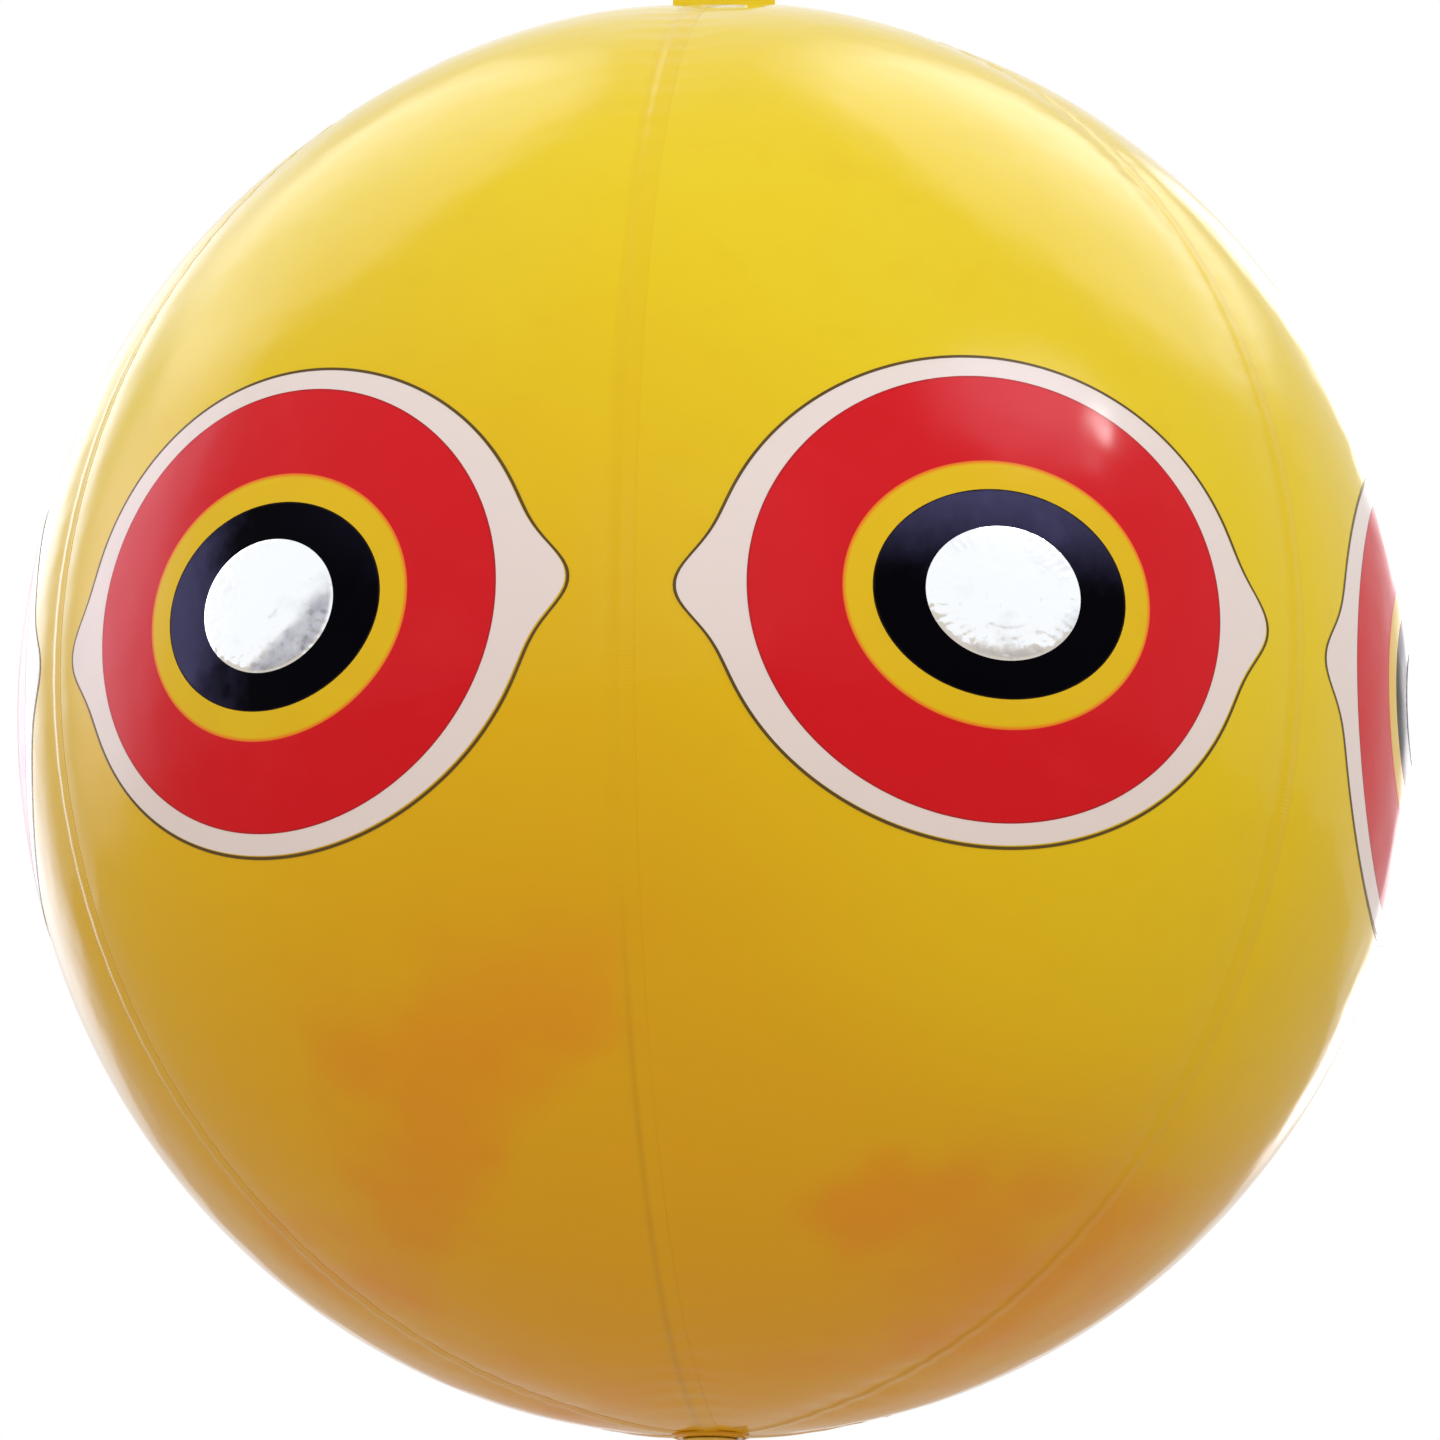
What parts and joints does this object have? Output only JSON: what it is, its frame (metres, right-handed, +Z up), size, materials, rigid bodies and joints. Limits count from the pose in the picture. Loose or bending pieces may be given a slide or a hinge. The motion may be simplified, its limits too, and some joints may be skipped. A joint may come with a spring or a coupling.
{
  "type": "bird scare balloon",
  "caption": "Inflated yellow vinyl ball with large printed ringed eyes and foil pupils, hung from an eyelet tab, with a push-in inflation valve below.",
  "frame": {"origin": "centre of the eyelet in the hanging tab, where the string or hook holds the balloon", "axes": "+Z up along the ball's pole axis; -Y faces the panel seam between eyes 1 and 6, the view of the picture; +X to the right"},
  "size_m": [0.4018, 0.4012, 0.4462],
  "materials": {
    "yellow_vinyl": "glossy inflated vinyl",
    "white_print": "glossy off-white print",
    "red_print": "glossy red print",
    "yellow_print": "glossy amber print",
    "black_print": "glossy black print",
    "foil": "crinkled mirror foil",
    "eyelet_metal": "nickel plated",
    "valve_vinyl": "soft satin vinyl"
  },
  "bodies": {
    "hanger": {"hang_tab": "yellow_vinyl", "eyelet_barrel": "eyelet_metal", "eyelet_washer": "eyelet_metal"},
    "ball": {"ball_panel_1": "yellow_vinyl", "ball_panel_2": "yellow_vinyl", "ball_panel_3": "yellow_vinyl", "ball_panel_4": "yellow_vinyl", "ball_panel_5": "yellow_vinyl", "ball_panel_6": "yellow_vinyl", "eye_1_white": "white_print", "eye_1_red": "red_print", "eye_1_yellow": "yellow_print", "eye_1_black": "black_print", "eye_1_foil": "foil", "eye_2_white": "white_print", "eye_2_red": "red_print", "eye_2_yellow": "yellow_print", "eye_2_black": "black_print", "eye_2_foil": "foil", "eye_3_white": "white_print", "eye_3_red": "red_print", "eye_3_yellow": "yellow_print", "eye_3_black": "black_print", "eye_3_foil": "foil", "eye_4_white": "white_print", "eye_4_red": "red_print", "eye_4_yellow": "yellow_print", "eye_4_black": "black_print", "eye_4_foil": "foil", "eye_5_white": "white_print", "eye_5_red": "red_print", "eye_5_yellow": "yellow_print", "eye_5_black": "black_print", "eye_5_foil": "foil", "eye_6_white": "white_print", "eye_6_red": "red_print", "eye_6_yellow": "yellow_print", "eye_6_black": "black_print", "eye_6_foil": "foil", "top_patch": "yellow_vinyl", "bottom_patch": "yellow_vinyl", "tab_weld_strip": "yellow_vinyl", "valve_flange": "valve_vinyl"},
    "valve": {"valve_stem": "valve_vinyl", "plug_strap": "valve_vinyl"},
    "plug": {"valve_plug": "valve_vinyl"},
    "flap": {"check_flap": "valve_vinyl"}
  },
  "joints": [
    {"name": "ball_swing", "type": "hinge", "parent": "hanger", "child": "ball", "pos_m": [0, 0, -0.017], "axis": [1, 0, 0], "range_deg": [-60, 60]},
    {"name": "valve_push", "type": "slide", "parent": "ball", "child": "valve", "axis": [0, 0, -1], "range_m": [0, 0.008]},
    {"name": "plug_pull", "type": "slide", "parent": "valve", "child": "plug", "axis": [0, 0, -1], "range_m": [0, 0.008], "deforming": ["plug_strap"]},
    {"name": "flap_open", "type": "hinge", "parent": "valve", "child": "flap", "pos_m": [0, 0.0046, -0.41475], "axis": [-1, 0, 0], "range_deg": [0, 60], "stiffness_Nm_per_rad": 0.00001}
  ]
}
